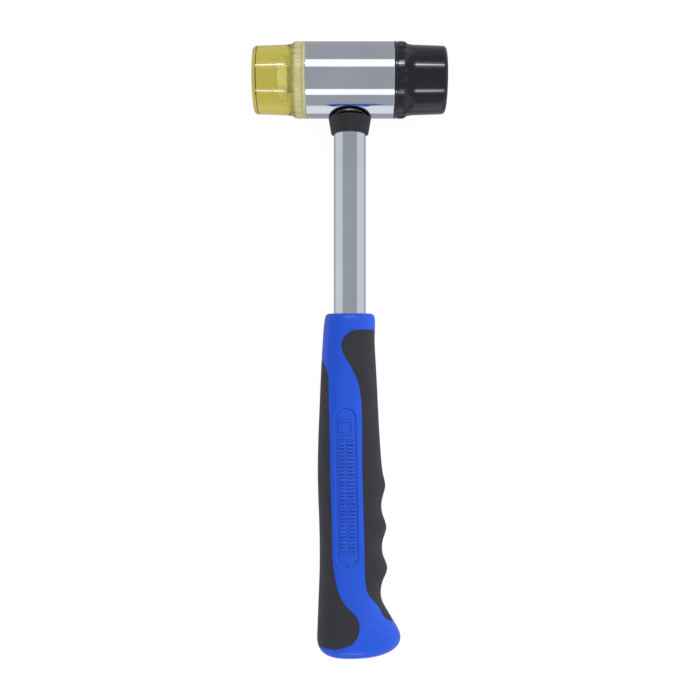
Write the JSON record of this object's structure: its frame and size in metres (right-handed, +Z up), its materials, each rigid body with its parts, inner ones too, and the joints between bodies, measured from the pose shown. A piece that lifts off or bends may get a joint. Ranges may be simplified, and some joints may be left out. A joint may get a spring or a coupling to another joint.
{
  "type": "two-way soft-face dead blow mallet",
  "caption": "Soft-face mallet with a chromed tube head, one clear yellow and one black screw-in face, a steel tube handle and a two-colour finger grip.",
  "frame": {"origin": "under the middle of the mallet's length, on the surface that it lies on", "axes": "+Y along the handle from butt to head, +X along the head from the yellow face to the black face, +Z up from the bench"},
  "size_m": [0.0896, 0.2856, 0.0352],
  "materials": {
    "chromed_steel": "polished",
    "zinc_steel": "satin",
    "steel_shot": "satin",
    "yellow_plastic": "gloss",
    "black_rubber": "satin",
    "boot_rubber": "matte",
    "plug_plastic": "matte",
    "blue_plastic": "satin",
    "grey_rubber": "matte"
  },
  "bodies": {
    "root": {"head_sleeve": "chromed_steel", "left_end_plug": "zinc_steel", "right_end_plug": "zinc_steel", "shaft_tube": "chromed_steel", "shaft_weld": "chromed_steel", "tube_end_plug": "plug_plastic", "neck_boot": "boot_rubber", "grip_core": "blue_plastic", "grip_front_pad": "grey_rubber", "grip_rear_pad": "grey_rubber"},
    "shot_slug": {"shot_charge": "steel_shot"},
    "yellow_washer": {"left_lock_washer": "zinc_steel"},
    "yellow_tip": {"yellow_face": "yellow_plastic", "left_face_bolt": "zinc_steel"},
    "black_washer": {"right_lock_washer": "zinc_steel"},
    "black_tip": {"black_face": "black_rubber", "right_face_bolt": "zinc_steel"}
  },
  "joints": [
    {"name": "shot_slide", "type": "slide", "parent": "root", "child": "shot_slug", "axis": [1, 0, 0], "range_m": [-0.0019, 0.0019]},
    {"name": "yellow_face_travel", "type": "slide", "parent": "root", "child": "yellow_washer", "axis": [-1, 0, 0], "range_m": [0, 0.0101]},
    {"name": "yellow_face_turn", "type": "hinge", "parent": "yellow_washer", "child": "yellow_tip", "pos_m": [-0.0205, 0.12525, 0.0176], "axis": [-1, 0, 0], "range_deg": [0, 2880]},
    {"name": "black_face_travel", "type": "slide", "parent": "root", "child": "black_washer", "axis": [1, 0, 0], "range_m": [0, 0.0101]},
    {"name": "black_face_turn", "type": "hinge", "parent": "black_washer", "child": "black_tip", "pos_m": [0.0205, 0.12525, 0.0176], "axis": [1, 0, 0], "range_deg": [0, 2880]}
  ],
  "couplings": [
    {"joint": "yellow_face_travel", "follows": "yellow_face_turn", "m_per_rad": 0.00019894},
    {"joint": "black_face_travel", "follows": "black_face_turn", "m_per_rad": 0.00019894}
  ]
}
